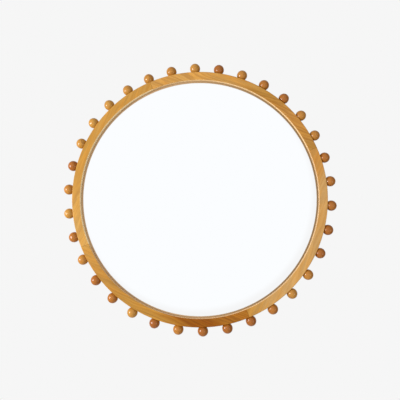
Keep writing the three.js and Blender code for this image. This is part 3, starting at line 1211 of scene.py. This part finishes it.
@dataclass
class Hoop:
    """The four quadrants: a turned section with a lip and a rebate, comb-jointed and drilled for the balls.

    The ironmongery sits on the land, which is the back of the hoop between the rebate and the rim.
    """

    outer_radius: float = 330
    width: float = 22
    front: float = -13.4
    back: float = 8.6
    glass_seat: float = -4.0
    lip_width: float = 6
    front_round: float = 2.0
    sight_round: float = 1.2
    back_round: float = 1.5
    arris: float = 0.4
    finger_length: float = 12
    finger_depths: tuple[float, ...] = (-13.4, -8.7, -4.0, 0.2, 4.4, 8.6)
    glue_gap: float = 0.12
    first_seam: float = 22.9
    boards: tuple[Board, ...] = BOARDS
    steps: int = 72
    finger_steps: int = 2
    bore_radius: float = 3.3
    bore_depth: float = 12.3
    bore_sides: int = 24

    @property
    def middle(self) -> float:
        """The y of the balls' centres."""
        return (self.front + self.back) / 2

    @property
    def sight_radius(self) -> float:
        """The radius of the clear view."""
        return self.outer_radius - self.width

    @property
    def rebate_radius(self) -> float:
        """The radius of the rebate's wall."""
        return self.sight_radius + self.lip_width

    @property
    def face_radius(self) -> float:
        """The radius of the middle of the face."""
        return self.outer_radius - self.width / 2

    @property
    def land_radius(self) -> float:
        """The radius of the middle of the land."""
        return (self.rebate_radius + self.outer_radius) / 2

    @property
    def quadrant_turn(self) -> float:
        """The angle that a quadrant takes, in degrees."""
        return 360 / len(self.boards)

    @property
    def finger_angle(self) -> float:
        """The angle that a finger takes, in radians."""
        return self.finger_length / self.outer_radius

    def on_land(self, angle: float) -> Matrix:
        """Returns the place of a piece that sits on the land at an angle in degrees."""
        return arm(angle, self.land_radius, self.back + CLEARANCE)

    def build(self, ball_angles: Sequence[float]) -> list[bpy.types.Object]:
        """Builds and dresses the four quadrants.

        Args:
            ball_angles: The angles of the balls, for their bores, in degrees.

        Returns:
            The quadrants.
        """
        pieces = []
        for index, board in enumerate(self.boards):
            start = self.first_seam + index * self.quadrant_turn
            piece = put_down(self._quadrant(start), "quadrant_" + board.name)
            bores = [self._bore(angle) for angle in ball_angles if self._reaches(start, angle)]
            cut(piece, join_tools(bores))
            wood = HoopWood(board, self, start + self.quadrant_turn / 2)
            pieces.append(dress(piece, wood.material(), "hoop_quadrant_" + board.name))
        return pieces

    def _reaches(self, start: float, angle: float) -> bool:
        """Tells whether a bore may touch a quadrant or its fingers.

        Args:
            start: The angle of the quadrant's first seam, in degrees.
            angle: The angle of the bore.

        Returns:
            True within an eighth of a quadrant of it.
        """
        margin = self.quadrant_turn / 8
        return (angle - start + margin) % 360 < self.quadrant_turn + 2 * margin

    def _bore(self, angle: float) -> bmesh.types.BMesh:
        """Returns the drill for one ball's bore, at an angle in degrees."""
        place = arm(angle, self.outer_radius, self.middle) @ Matrix.Rotation(-QUARTER_TURN, 4, "Z")
        return cylinder(self.bore_radius, -self.bore_depth, self.bore_depth, self.bore_sides, place)

    def _quadrant(self, start_degrees: float) -> bmesh.types.BMesh:
        """Sweeps one quadrant with its fingers.

        Args:
            start_degrees: The angle of its first seam.

        Returns:
            The mesh.
        """
        start = math.radians(start_degrees) + self.finger_angle
        end = math.radians(start_degrees + self.quadrant_turn)
        bm = bmesh.new()
        self._section(bm)
        bmesh.ops.rotate(bm, verts=bm.verts, cent=(0, 0, 0), matrix=Matrix.Rotation(-start, 3, "Y"))
        swing(bm, everything(bm), (0, 0, 0), (0, -1, 0), end - start, self.steps)
        reach = self.finger_angle - self.glue_gap / 2 / self.outer_radius
        self._fingers(bm, start, -reach, 0)
        self._fingers(bm, end, reach, 1)
        tidy(bm)
        return bm

    def _section(self, bm: bmesh.types.BMesh) -> None:
        """Draws the hoop's section at angle 0, split into the fingers' layers.

        Args:
            bm: The empty mesh.
        """
        corners = (
            ((self.sight_radius, self.front), self.sight_round, 6),
            ((self.outer_radius, self.front), self.front_round, 8),
            ((self.outer_radius, self.back), self.back_round, 6),
            ((self.rebate_radius, self.back), self.arris, 2),
            ((self.rebate_radius, self.glass_seat), 0, 0),
            ((self.sight_radius, self.glass_seat), self.arris, 2),
        )
        flat_face(bm, [corner for corner, _, _ in corners])
        for corner, radius, segments in corners:
            if radius:
                round_corner(bm, corner, radius, segments)
        half = self.glue_gap / 2
        for depth in self.finger_depths[1:-1]:
            for side in (-half, half):
                plane = (0, depth + side, 0)
                bmesh.ops.bisect_plane(
                    bm, geom=everything(bm), dist=WELD / 100, plane_co=plane, plane_no=(0, 1, 0)
                )

    def _fingers(self, bm: bmesh.types.BMesh, angle: float, reach: float, parity: int) -> None:
        """Grows every other layer of one end into a finger.

        Args:
            bm: The mesh.
            angle: The angle of the end face, in radians.
            reach: How far the fingers go, in radians.
            parity: 0 for the front, third and last layers, 1 for those between.
        """
        normal = Vector((-math.sin(angle), 0, math.cos(angle)))
        layers = list(zip(self.finger_depths, self.finger_depths[1:]))
        for low, high in layers[parity::2]:
            grown = []
            for face in bm.faces:
                depths = [v.co.y for v in face.verts]
                in_layer = low < face.calc_center_median().y < high
                is_wide = max(depths) - min(depths) > 2 * self.glue_gap
                at_end = all(abs(v.co.dot(normal)) < WELD for v in face.verts)
                if in_layer and is_wide and at_end:
                    grown.append(face)
            rim = {*grown, *(e for f in grown for e in f.edges), *(v for f in grown for v in f.verts)}
            swing(bm, rim, (0, 0, 0), (0, -1, 0), reach, self.finger_steps)


@dataclass
class BallRing:
    """The turned balls round the rim, each with a seat and a spigot in its bore."""

    hoop: Hoop
    count: int = 34
    first_angle: float = 7
    radius: float = 13.49
    seat_radius: float = 7.5
    spigot_radius: float = 3
    spigot_length: float = 12
    spigot_arris: float = 0.8
    heart_along: float = 400
    heart_across: Span = (8, 42)
    arc_steps: int = 24
    turn_steps: int = 44
    seed: int = 38918

    @property
    def seat_distance(self) -> float:
        """The distance from a ball's centre to its seat."""
        return math.sqrt(self.radius**2 - self.seat_radius**2)

    def angle(self, index: float) -> float:
        """Returns the angle of a ball in degrees, or with half an index that of the gap after it."""
        return self.first_angle + index * 360 / self.count

    def angles(self) -> list[float]:
        """Returns the balls' angles in degrees."""
        return [self.angle(index) for index in range(self.count)]

    def build(self) -> list[bpy.types.Object]:
        """Builds and dresses the balls.

        Returns:
            The balls.
        """
        finish = BallWood()
        material = finish.material()
        draw = random.Random(self.seed)
        distance = self.hoop.outer_radius + CLEARANCE + self.seat_distance
        pieces = []
        for number, angle in enumerate(self.angles(), start=1):
            bm = self._ball()
            self._mark(bm, finish, draw)
            place = arm(angle, distance, self.hoop.middle) @ Matrix.Rotation(-QUARTER_TURN, 4, "Z")
            piece = put_down(bm, f"turned_ball_{number:02d}", place)
            pieces.append(dress(piece, material, f"ball_{number:02d}"))
        return pieces

    def _ball(self) -> bmesh.types.BMesh:
        """Turns one ball about the Y axis, its spigot pointing down.

        Returns:
            The mesh.
        """
        bm = bmesh.new()
        pole = bm.verts.new((0, self.radius, 0))
        reach = math.pi - math.asin(self.seat_radius / self.radius)
        arc = swing(bm, [pole], (0, 0, 0), (0, 0, -1), reach, self.arc_steps)
        foot = -self.seat_distance - CLEARANCE
        tip = -self.seat_distance - self.spigot_length
        outline = [
            (self.seat_radius, foot),
            (self.spigot_radius, foot),
            (self.spigot_radius, tip + self.spigot_arris),
            (self.spigot_radius - self.spigot_arris, tip),
            (0, tip),
        ]
        extend(bm, verts_of(arc)[0], outline)
        turn_about_y(bm, self.turn_steps)
        return bm

    def _mark(self, bm: bmesh.types.BMesh, finish: BallWood, draw: random.Random) -> None:
        """Writes a ball's grain coordinates and tint into its mesh.

        Args:
            bm: The ball, centred on the origin.
            finish: The finish that reads them.
            draw: The source of random numbers.
        """
        grain = bm.verts.layers.float_vector.new(finish.grain_layer)
        tint = bm.verts.layers.float.new(finish.tint_layer)
        turn = Euler([draw.uniform(0, FULL_TURN) for _ in range(3)]).to_matrix()
        along = draw.uniform(-self.heart_along, self.heart_along)
        heart = Vector((along, draw.uniform(*self.heart_across), draw.uniform(*self.heart_across)))
        shade = draw.uniform(0, 1)
        for vertex in bm.verts:
            vertex[grain] = turn @ vertex.co + heart
            vertex[tint] = shade


@dataclass
class RoundPane:
    """A round pane in the hoop's rebate, with an arris round both faces: the glass or its backing board."""

    name: str
    node: str
    slot: str
    finish: SilveredGlass | Fibreboard
    radius: float
    front: float
    thickness: float
    smooth_angle: float
    arris: float = 0.5
    steps: int = 180

    def build(self) -> list[bpy.types.Object]:
        """Builds and dresses the pane.

        Returns:
            The pane.
        """
        back = self.front + self.thickness
        corners = [(0, self.front), (self.radius, self.front), (self.radius, back), (0, back)]
        bm = bmesh.new()
        turned_section(bm, corners, {1: self.arris, 2: self.arris}, self.steps)
        piece = put_down(bm, self.name)
        return [dress(piece, self.finish.material(), self.node, smooth_angle=self.smooth_angle)]


@dataclass
class PanScrew:
    """A pan-head wood screw with a cross recess, its head's underside at y = 0 and its shank along -Y."""

    head_radius: float = 3.5
    head_edge: float = 0.8
    head_height: float = 2.2
    head_arris: float = 0.15
    shank_radius: float = 1.6
    length: float = 12
    tip_length: float = 3
    recess_reach: float = 1.9
    recess_width: float = 0.85
    recess_depth: float = 1.3
    recess_taper: tuple[float, float, float] = (0.45, 1, 0.6)
    dome_steps: int = 10
    steps: int = 40

    def build(self, name: str, place: Matrix) -> bpy.types.Object:
        """Builds a screw.

        Args:
            name: Its name.
            place: Where its head's underside goes.

        Returns:
            The screw, not dressed yet.
        """
        bm = bmesh.new()
        top = bm.verts.new((0, 1, 0))
        arc = swing(bm, [top], (0, 0, 0), (0, 0, -1), QUARTER_TURN, self.dome_steps)
        crown = self.head_height - self.head_edge
        bmesh.ops.scale(bm, verts=bm.verts, vec=(self.head_radius, crown, 1))
        bmesh.ops.translate(bm, verts=bm.verts, vec=(0, self.head_edge, 0))
        outline = [
            (self.head_radius, self.head_arris),
            (self.head_radius - self.head_arris, 0),
            (self.shank_radius, 0),
            (self.shank_radius, self.tip_length - self.length),
            (0, -self.length),
        ]
        extend(bm, verts_of(arc)[0], outline)
        turn_about_y(bm, self.steps)
        piece = put_down(bm, name, place)
        for turn in (0.0, QUARTER_TURN):
            cut(piece, self._recess_arm(place @ Matrix.Rotation(turn, 4, "Y")))
        return piece

    def _recess_arm(self, place: Matrix) -> bmesh.types.BMesh:
        """Makes one of the two tapered blades that cut the recess.

        Args:
            place: The screw's place, turned as the blade is.

        Returns:
            The blade.
        """
        bm = bmesh.new()
        bmesh.ops.create_cube(bm, size=1)
        low = [v for v in bm.verts if v.co.y < 0]
        bmesh.ops.scale(bm, verts=low, vec=self.recess_taper)
        size = (2 * self.recess_reach, self.recess_depth + OVERSHOOT, self.recess_width)
        bmesh.ops.scale(bm, verts=bm.verts, vec=size)
        lift = self.head_height + OVERSHOOT - size[1] / 2
        bmesh.ops.translate(bm, verts=bm.verts, vec=(0, lift, 0))
        bmesh.ops.transform(bm, verts=bm.verts, matrix=place)
        return bm


@dataclass
class TurnButtons:
    """The turn buttons that hold the board, each on its screw midway between two balls."""

    hoop: Hoop
    balls: BallRing
    gaps: tuple[float, ...] = (3.5, 11.5, 20.5, 28.5)
    thickness: float = 1.2
    reach: float = 22
    pivot_radius: float = 6
    free_radius: float = 4
    end_sides: int = 48
    hole_radius: float = 1.9
    edge: float = 0.2
    screw_turn: float = 0.7

    def build(self, screw: PanScrew, material: bpy.types.Material) -> list[bpy.types.Object]:
        """Builds and dresses the buttons and their screws.

        Args:
            screw: The screw's sizes.
            material: The plating.

        Returns:
            The buttons and screws.
        """
        pieces = []
        for number, gap in enumerate(self.gaps, start=1):
            place = self.hoop.on_land(self.balls.angle(gap))
            plate = put_down(self._plate(), f"button_plate_{number}", place)
            cut(plate, cylinder(self.hole_radius, -OVERSHOOT, self.thickness + OVERSHOOT, HOLE_SIDES, place))
            pieces.append(dress(plate, material, f"turn_button_{number}", f"button_{number}"))
            lifted = place @ Matrix.Translation((0, self.thickness + CLEARANCE, 0))
            turned = lifted @ Matrix.Rotation(number * self.screw_turn, 4, "Y")
            fixing = screw.build(f"button_fixing_{number}", turned)
            pieces.append(dress(fixing, material, f"button_screw_{number}"))
        return pieces

    def _plate(self) -> bmesh.types.BMesh:
        """Makes a stamped plate from its pivot at the origin to its free end along -X.

        Returns:
            The mesh.
        """
        ends = [(self.pivot_radius, 0.0), (self.free_radius, -self.reach)]
        discs = []
        for radius, x in ends:
            end_place = Matrix.Translation((x, 0, 0))
            discs.append(cylinder(radius, 0, self.thickness, self.end_sides, end_place))
        bm = join_tools(discs)
        bmesh.ops.delete(bm, geom=bm.faces[:], context="FACES_ONLY")
        hull = bmesh.ops.convex_hull(bm, input=bm.verts[:], use_existing_faces=False)
        loose = {*hull["geom_interior"], *hull["geom_unused"]}
        bmesh.ops.delete(bm, geom=verts_of(loose), context="VERTS")
        wires = [e for e in bm.edges if not e.link_faces]
        bmesh.ops.delete(bm, geom=wires, context="EDGES")
        tidy(bm)
        bmesh.ops.dissolve_limit(bm, angle_limit=math.radians(1), verts=bm.verts[:], edges=bm.edges[:])
        soften(bm, self.edge, SHARP_DEGREES)
        tidy(bm)
        return bm


@dataclass
class Hangers:
    """The two strap hangers, each a rolled strap, a screw and a D-ring of bent wire."""

    hoop: Hoop
    angle: float = 31.7
    reach: float = 17
    strap_width: float = 9
    strap_thickness: float = 1.6
    end_share: float = 0.99
    end_segments: int = 12
    knuckle_radius: float = 2.55
    bore_radius: float = 1.55
    roll_end: float = 195
    roll_steps: int = 30
    hole_radius: float = 1.9
    screw_turn: float = 0.4
    wire_radius: float = 1.25
    wire_sides: int = 20
    ring_width: float = 15.5
    side_length: float = 4
    corner_radius: float = 3
    corner_steps: int = 8
    bow_steps: int = 28
    end_gap: float = 0.5
    ring_smooth_angle: float = 40
    edge: float = 0.12

    def build(self, screw: PanScrew, material: bpy.types.Material) -> list[bpy.types.Object]:
        """Builds and dresses both hangers.

        Args:
            screw: The screw's sizes.
            material: The plating.

        Returns:
            Their pieces.
        """
        top = self.strap_thickness
        pieces = []
        for side in ("left", "right"):
            place = self._place(side)
            strap = put_down(self._strap(), "strap_" + side, place)
            cut(strap, cylinder(self.hole_radius, -OVERSHOOT, top + OVERSHOOT, HOLE_SIDES, place))
            pieces.append(dress(strap, material, "hanger_strap_" + side))
            lifted = place @ Matrix.Translation((0, top + CLEARANCE, 0))
            fixing = screw.build("strap_fixing_" + side, lifted @ Matrix.Rotation(self.screw_turn, 4, "Y"))
            pieces.append(dress(fixing, material, "hanger_screw_" + side))
            hinge = place @ Matrix.Translation((self.reach, self.knuckle_radius, 0))
            ring = put_down(self._ring(), "d_ring_" + side, hinge @ Matrix.Rotation(-self._lean(), 4, "Z"))
            node, body = "hanger_ring_" + side, "ring_" + side
            pieces.append(dress(ring, material, node, body, self.ring_smooth_angle))
        return pieces

    def _place(self, side: str) -> Matrix:
        """Finds a hanger's screw: local X points up along the rim and local Y to the back.

        Args:
            side: "left" or "right".

        Returns:
            The place, in millimetres.
        """
        if side == "right":
            return self.hoop.on_land(self.angle) @ Matrix.Rotation(-QUARTER_TURN, 4, "Y")
        return self.hoop.on_land(180 - self.angle) @ Matrix.Rotation(QUARTER_TURN, 4, "Y")

    def _lean(self) -> float:
        """Returns how far the resting ring leans towards the hoop, in radians."""
        bow = self.corner_radius + self.side_length + self.ring_width / 2
        return math.asin((self.knuckle_radius - self.wire_radius) / bow)

    def _strap(self) -> bmesh.types.BMesh:
        """Rolls one strap: a plate with a round end and a knuckle round the hinge line.

        Returns:
            The mesh.
        """
        half = self.strap_width / 2
        hinge = (self.reach, self.knuckle_radius, 0)
        roll = math.radians(self.roll_end)
        rise = self.knuckle_radius - self.strap_thickness
        foot = math.asin(rise / self.bore_radius) - math.pi
        tongue = (
            self.reach + self.bore_radius * math.cos(roll),
            self.knuckle_radius + self.bore_radius * math.sin(roll),
        )
        bm = bmesh.new()
        first = bm.verts.new((-half, self.strap_thickness, 0))
        under = extend(bm, first, [(-half, 0), (self.reach, 0)])
        outside = swing(bm, [under], hinge, (0, 0, 1), roll + QUARTER_TURN, self.roll_steps)
        inner = extend(bm, verts_of(outside)[0], [tongue])
        inside = swing(bm, [inner], hinge, (0, 0, -1), roll - foot, self.roll_steps)
        bm.edges.new((verts_of(inside)[0], first))
        bmesh.ops.contextual_create(bm, geom=bm.edges[:])
        bmesh.ops.translate(bm, verts=bm.verts, vec=(0, 0, -half))
        push(bm, everything(bm), (0, 0, self.strap_width))
        self._round_end(bm, half)
        tidy(bm)
        soften(bm, self.edge, SHARP_DEGREES)
        tidy(bm)
        return bm

    def _round_end(self, bm: bmesh.types.BMesh, half: float) -> None:
        """Rounds the two upright corners at the strap's free end.

        Args:
            bm: The strap.
            half: Half its width.
        """
        corners = []
        for edge in bm.edges:
            first, last = (v.co for v in edge.verts)
            at_end = abs(first.x + half) < WELD and abs(last.x + half) < WELD
            if at_end and abs(first.y - last.y) > WELD:
                corners.append(edge)
        bmesh.ops.bevel(
            bm,
            geom=corners,
            offset=half * self.end_share,
            segments=self.end_segments,
            profile=0.5,
            affect="EDGES",
            material=-1,
        )

    def _ring(self) -> bmesh.types.BMesh:
        """Bends one D-ring: the hinge line is the local Z axis and the bow points along +X.

        Returns:
            The mesh.
        """
        half = self.ring_width / 2
        corner = self.corner_radius
        straight = half - corner - self.end_gap / 2
        up = (0, 1, 0)
        bm = bmesh.new()
        bmesh.ops.create_circle(bm, cap_ends=True, radius=self.wire_radius, segments=self.wire_sides)
        bmesh.ops.translate(bm, verts=bm.verts, vec=(0, 0, self.end_gap / 2))
        end = push(bm, everything(bm), (0, 0, straight))
        end = swing(bm, end, (corner, 0, half - corner), up, QUARTER_TURN, self.corner_steps)
        end = push(bm, end, (self.side_length, 0, 0))
        end = swing(bm, end, (corner + self.side_length, 0, 0), up, math.pi, self.bow_steps)
        end = push(bm, end, (-self.side_length, 0, 0))
        end = swing(bm, end, (corner, 0, corner - half), up, QUARTER_TURN, self.corner_steps)
        push(bm, end, (0, 0, straight))
        tidy(bm)
        return bm


@dataclass
class WallBumpers:
    """The two rubber bumpers at the foot of the back."""

    hoop: Hoop
    radius: float = 6.5
    height: float = 7
    edge: float = 1
    small_round: float = 0.3
    dimple_radius: float = 2.2
    dimple_depth: float = 0.8
    dimple_draft: float = 0.5
    angle: float = 60
    steps: int = 56

    def build(self) -> list[bpy.types.Object]:
        """Builds and dresses the bumpers.

        Returns:
            The bumpers.
        """
        material = BumperRubber().material()
        floor = self.height - self.dimple_depth
        corners = [
            (0, 0),
            (self.radius, 0),
            (self.radius, self.height),
            (self.dimple_radius, self.height),
            (self.dimple_radius - self.dimple_draft, floor),
            (0, floor),
        ]
        rounds = {1: self.small_round, 2: self.edge, 3: self.small_round}
        pieces = []
        for side, angle in (("left", 180 + self.angle), ("right", -self.angle)):
            bm = bmesh.new()
            turned_section(bm, corners, rounds, self.steps)
            piece = put_down(bm, "bumper_" + side, self.hoop.on_land(angle))
            pieces.append(dress(piece, material, "wall_bumper_" + side))
        return pieces


@dataclass
class SoftBox:
    """One soft studio light."""

    name: str
    way: tuple[float, float, float]
    distance: float
    width: float
    power: float

    def build(self) -> None:
        """Hangs the light, aimed at the mirror."""
        data = bpy.data.lights.new(self.name, "AREA")
        data.shape = "DISK"
        data.size = self.width
        data.energy = self.power
        light = bpy.data.objects.new(self.name, data)
        way = Vector(self.way).normalized()
        light.location = way * self.distance
        light.rotation_euler = way.to_track_quat("Z", "Y").to_euler()
        bpy.context.scene.collection.objects.link(light)


@dataclass
class Studio:
    """The pale surroundings, the lights, the floor far below and the camera at the photograph's angle.

    The surroundings' edges are pairs at which one zone begins to fade and has faded into the next. Before the
    mirror they are measured as slopes from the view axis, and elsewhere as parts of the direction.
    """

    backdrop: Colour = tone(246, 246, 246)
    reflector: Colour = (0.990, 1.0, 1.016, 1.0)
    reflector_centre: Point = (-0.034, 0.066)
    reflector_edge: Span = (0.302, 0.322)
    surround: Colour = (0.936, 0.934, 0.938, 1.0)
    surround_edge: Span = (0.4, 0.52)
    front_light: Colour = (0.97, 0.97, 0.97, 1.0)
    front_dim: Colour = (0.66, 0.66, 0.67, 1.0)
    front_edge: Span = (0.35, 0.62)
    room_light: Colour = (0.5, 0.5, 0.5, 1.0)
    room_dim: Colour = (0.2, 0.2, 0.205, 1.0)
    dimming_way: Point = (0.76, -0.65)
    dimming_reach: float = 0.85
    back_edge: Span = (0.68, 0.785)
    least_ahead: float = 0.05
    tilt_right: float = 1.48
    tilt_up: float = -3.07
    distance: float = 970.2
    ball_plane: float = -2.4
    lens: float = 33.54
    sensor: float = 36.0
    shift: Point = (0.00268, -0.00618)
    far_end: float = 50
    floor_drop: float = 1500
    floor_radius: float = 1500
    floor_sides: int = 96
    lights: list[SoftBox] = field(
        default_factory=lambda: [
            SoftBox("key_light", (-0.87, -0.5, -0.05), 1.6, 0.66, 23.0),
            SoftBox("fill_light", (0.75, -0.6, -0.25), 2.0, 0.7, 3.5),
        ]
    )

    def build(self) -> None:
        """Sets up the whole studio."""
        self._surroundings()
        self._camera()
        self._floor()
        for light in self.lights:
            light.build()
        bpy.context.scene.view_settings.view_transform = "Standard"

    def _surroundings(self) -> None:
        """Paints the world: a round reflector before the mirror in a dimmer room, and a pale backdrop.

        The camera itself sees the backdrop alone, from every side.
        """
        world = bpy.data.worlds.new("studio")
        g = Graph(world)
        x, y, z = g.split(g.out(g.node("TexCoord"), "Generated"))
        ahead = g.math("MAXIMUM", 0 - y, self.least_ahead)
        centre_x, centre_z = self.reflector_centre
        spread = g.reach(x / ahead - centre_x, z / ahead - centre_z)
        way_x, way_z = self.dimming_way
        falling = g.band(x * way_x + z * way_z, -self.dimming_reach, self.dimming_reach)
        room = g.blend(falling, self.front_light, self.front_dim)
        around = g.blend(g.band(spread, *self.surround_edge), self.surround, room)
        front = g.blend(g.band(spread, *self.reflector_edge), self.reflector, around)
        sides = g.blend(falling, self.room_light, self.room_dim)
        near = g.blend(g.band(0 - y, *self.front_edge), sides, front)
        lit = g.blend(g.band(y, *self.back_edge), near, self.backdrop)
        seen = g.out(g.node("LightPath"), "Is Camera Ray")
        shader = g.node("Background", None, {"Color": g.blend(seen, lit, self.backdrop), "Strength": 1.0})
        output = g.node("OutputWorld")
        g.tree.links.new(shader.outputs[0], output.inputs["Surface"])
        bpy.context.scene.world = world

    def _camera(self) -> None:
        """Places the camera a little to the right of the mirror's axis and below it."""
        data = bpy.data.cameras.new("camera")
        data.lens = self.lens
        data.sensor_width = self.sensor
        data.shift_x, data.shift_y = self.shift
        data.clip_end = self.far_end
        way = Vector((math.radians(self.tilt_right), -1, math.radians(self.tilt_up))).normalized()
        camera = bpy.data.objects.new("camera", data)
        camera.location = (way * self.distance + Vector((0, self.ball_plane, 0))) * MM
        camera.rotation_euler = way.to_track_quat("Z", "Y").to_euler()
        bpy.context.scene.collection.objects.link(camera)
        bpy.context.scene.camera = camera

    def _floor(self) -> None:
        """Lays a plain round floor well below the mirror."""
        bm = bmesh.new()
        bmesh.ops.create_circle(bm, cap_ends=True, radius=self.floor_radius, segments=self.floor_sides)
        bmesh.ops.translate(bm, verts=bm.verts, vec=(0, 0, -self.floor_drop))
        floor = put_down(bm, "studio_floor")
        floor.data.materials.append(FloorPaint().material())


def panes(hoop: Hoop, slack: float = 1) -> tuple[RoundPane, RoundPane]:
    """Stacks the glass and its backing board in the hoop's rebate.

    Args:
        hoop: The hoop.
        slack: The gap round them in the rebate.

    Returns:
        The glass and the board.
    """
    radius = hoop.rebate_radius - slack
    glass = RoundPane(
        name="silvered_plate",
        node="mirror_glass",
        slot="silvered_glass",
        finish=SilveredGlass(),
        radius=radius,
        front=hoop.glass_seat + CLEARANCE,
        thickness=4,
        smooth_angle=15,
    )
    board = RoundPane(
        name="fibre_back",
        node="backing_board",
        slot="fibreboard",
        finish=Fibreboard(),
        radius=radius,
        front=glass.front + glass.thickness + CLEARANCE,
        thickness=8,
        smooth_angle=50,
    )
    return glass, board


def report(title: str, pieces: Sequence[bpy.types.Object]) -> None:
    """Logs the pieces of one sub-assembly.

    Args:
        title: The sub-assembly.
        pieces: Its pieces.
    """
    for piece in pieces:
        log.info("%s: %s, %d faces", title, piece.name, len(piece.data.polygons))


def main() -> None:
    """Builds the studio and every sub-assembly."""
    logging.basicConfig(level=logging.INFO, format="%(name)s %(message)s")
    Studio().build()
    hoop = Hoop()
    balls = BallRing(hoop)
    glass, board = panes(hoop)
    screw = PanScrew()
    assemblies: list[tuple[str, Callable[[], list[bpy.types.Object]]]] = [
        ("hoop", lambda: hoop.build(balls.angles())),
        ("balls", balls.build),
        ("glass", glass.build),
        ("backing board", board.build),
        ("turn buttons", lambda: TurnButtons(hoop, balls).build(screw, Plating.ZINC.material())),
        ("hangers", lambda: Hangers(hoop).build(screw, Plating.NICKEL.material())),
        ("wall bumpers", WallBumpers(hoop).build),
    ]
    for title, build in assemblies:
        report(title, build())


if __name__ == "__main__":
    main()
